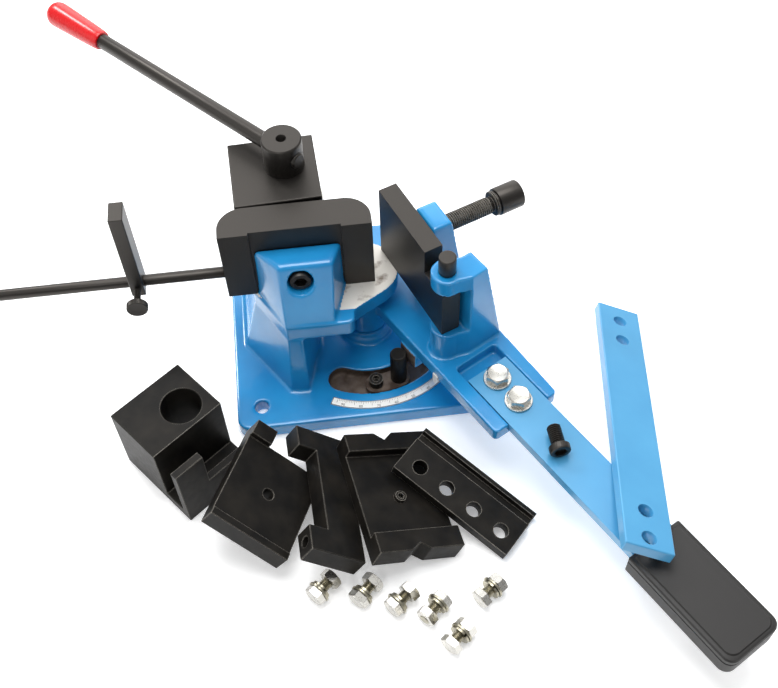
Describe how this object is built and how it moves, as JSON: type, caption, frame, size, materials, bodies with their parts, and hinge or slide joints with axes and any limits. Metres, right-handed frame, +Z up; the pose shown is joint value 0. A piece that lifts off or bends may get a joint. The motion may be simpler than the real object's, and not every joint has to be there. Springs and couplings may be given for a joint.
{
  "type": "universal bench metal bender",
  "caption": "Bench metal bender: cast base with former block, cam-lever clamp, length stop, swinging bending arm with spindle-set pressing plate, and its loose tools.",
  "frame": {"origin": "centre of the four mounting holes on the underside of the base plate", "axes": "+X to the operator's right along the front edge of the base, +Y to the back, +Z up"},
  "size_m": [0.5887, 0.6634, 0.2072],
  "materials": {
    "blue_paint": "gloss enamel on cast iron",
    "black_oxide": "blackened steel, oiled",
    "red_plastic": "gloss dipped plastic",
    "black_plastic": "moulded, satin",
    "zinc_plate": "bright zinc plate",
    "bare_steel": "ground steel with light rust",
    "scale_white": "white strip with black graduations"
  },
  "bodies": {
    "base": {"base_casting": "blue_paint", "pivot_pin": "bare_steel", "angle_scale": "scale_white", "former_block": "black_oxide", "former_screw": "black_oxide"},
    "clamp_jaw": {"clamp_block": "black_oxide"},
    "cam_lever": {"cam_shaft": "black_oxide", "lever_rod": "black_oxide", "lever_grip": "red_plastic"},
    "stop_rod": {"stop_rod": "black_oxide"},
    "stop_bar": {"stop_bar": "black_oxide"},
    "stop_thumb_screw": {"stop_thumb_screw": "black_oxide"},
    "angle_stop": {"stop_shoe": "bare_steel", "stop_pin": "black_oxide", "stop_clamp_screw": "black_oxide"},
    "bending_arm": {"arm_casting": "blue_paint", "hinge_pin": "black_oxide", "angle_pointer": "scale_white", "handle_bar": "blue_paint", "handle_bolts": "zinc_plate", "handle_washers": "zinc_plate", "handle_grip": "black_plastic"},
    "pressing_plate": {"pressing_plate": "black_oxide"},
    "spindle": {"spindle": "black_oxide"},
    "spindle_head": {"spindle_head": "black_oxide"},
    "hook_die": {"hook_die": "black_oxide"},
    "lip_die": {"lip_die": "black_oxide"},
    "channel_die": {"channel_die": "black_oxide"},
    "v_die": {"v_die": "black_oxide", "v_die_screw": "black_oxide"},
    "hole_bar": {"hole_bar": "black_oxide"},
    "extension_bar": {"extension_bar": "blue_paint"},
    "spare_cap_screw": {"spare_cap_screw": "black_oxide"},
    "spare_fasteners": {"spare_bolts": "zinc_plate", "spare_washers": "zinc_plate", "spare_spring_washers": "zinc_plate", "spare_nuts": "zinc_plate"}
  },
  "joints": [
    {"name": "cam_turn", "type": "hinge", "parent": "base", "child": "cam_lever", "pos_m": [-0.045, 0.0515, 0.1917], "axis": [0, 0, 1], "range_deg": [-60, 0]},
    {"name": "clamp_slide", "type": "slide", "parent": "base", "child": "clamp_jaw", "axis": [0, 1, 0], "range_m": [0, 0.004]},
    {"name": "stop_rod_turn", "type": "hinge", "parent": "base", "child": "stop_rod", "pos_m": [-0.106, -0.01, 0.1145], "axis": [1, 0, 0], "range_deg": [-90, 90]},
    {"name": "stop_bar_slide", "type": "slide", "parent": "stop_rod", "child": "stop_bar", "axis": [1, 0, 0], "range_m": [-0.1, 0.06]},
    {"name": "thumb_screw_turn", "type": "hinge", "parent": "stop_bar", "child": "stop_thumb_screw", "pos_m": [-0.183, -0.03, 0.1145], "axis": [0, 1, 0], "range_deg": [0, 360]},
    {"name": "angle_stop_slide", "type": "hinge", "parent": "base", "child": "angle_stop", "pos_m": [0.014, -0.0095, 0.012], "axis": [0, 0, 1], "range_deg": [-17, 0]},
    {"name": "arm_swing", "type": "hinge", "parent": "base", "child": "bending_arm", "pos_m": [0.014, -0.0095, 0.059], "axis": [0, 0, 1], "range_deg": [0, 66]},
    {"name": "plate_tilt", "type": "hinge", "parent": "bending_arm", "child": "pressing_plate", "pos_m": [0.0777, -0.08015, 0.126], "axis": [0, 0, 1], "range_deg": [0, 3.4]},
    {"name": "spindle_feed", "type": "slide", "parent": "bending_arm", "child": "spindle", "axis": [-0.9278, -0.373, 0], "range_m": [0, 0.0042]},
    {"name": "spindle_turn", "type": "hinge", "parent": "spindle", "child": "spindle_head", "pos_m": [0.10012, 0.00215, 0.139], "axis": [-0.9278, -0.373, 0], "range_deg": [0, 740]},
    {"name": "hook_die_lift", "type": "slide", "parent": "base", "child": "hook_die", "axis": [0, 0, 1], "range_m": [0, 0.05]},
    {"name": "lip_die_lift", "type": "slide", "parent": "hook_die", "child": "lip_die", "axis": [0, 0, 1], "range_m": [0, 0.05]},
    {"name": "channel_die_lift", "type": "slide", "parent": "lip_die", "child": "channel_die", "axis": [0, 0, 1], "range_m": [0, 0.05]},
    {"name": "v_die_lift", "type": "slide", "parent": "channel_die", "child": "v_die", "axis": [0, 0, 1], "range_m": [0, 0.05]},
    {"name": "hole_bar_lift", "type": "slide", "parent": "v_die", "child": "hole_bar", "axis": [0, 0, 1], "range_m": [0, 0.05]},
    {"name": "extension_bar_lift", "type": "slide", "parent": "bending_arm", "child": "extension_bar", "axis": [0, 0, 1], "range_m": [0, 0.05]},
    {"name": "spare_cap_screw_lift", "type": "slide", "parent": "bending_arm", "child": "spare_cap_screw", "axis": [0, 0, 1], "range_m": [0, 0.05]},
    {"name": "spare_fasteners_push", "type": "slide", "parent": "base", "child": "spare_fasteners", "axis": [0, -1, 0], "range_m": [0, 0.05]}
  ],
  "couplings": [
    {"joint": "clamp_slide", "follows": "cam_turn", "m_per_rad": -0.003801},
    {"joint": "spindle_feed", "follows": "plate_tilt", "m_per_rad": 0.068},
    {"joint": "spindle_turn", "follows": "plate_tilt", "ratio": 213.63}
  ]
}
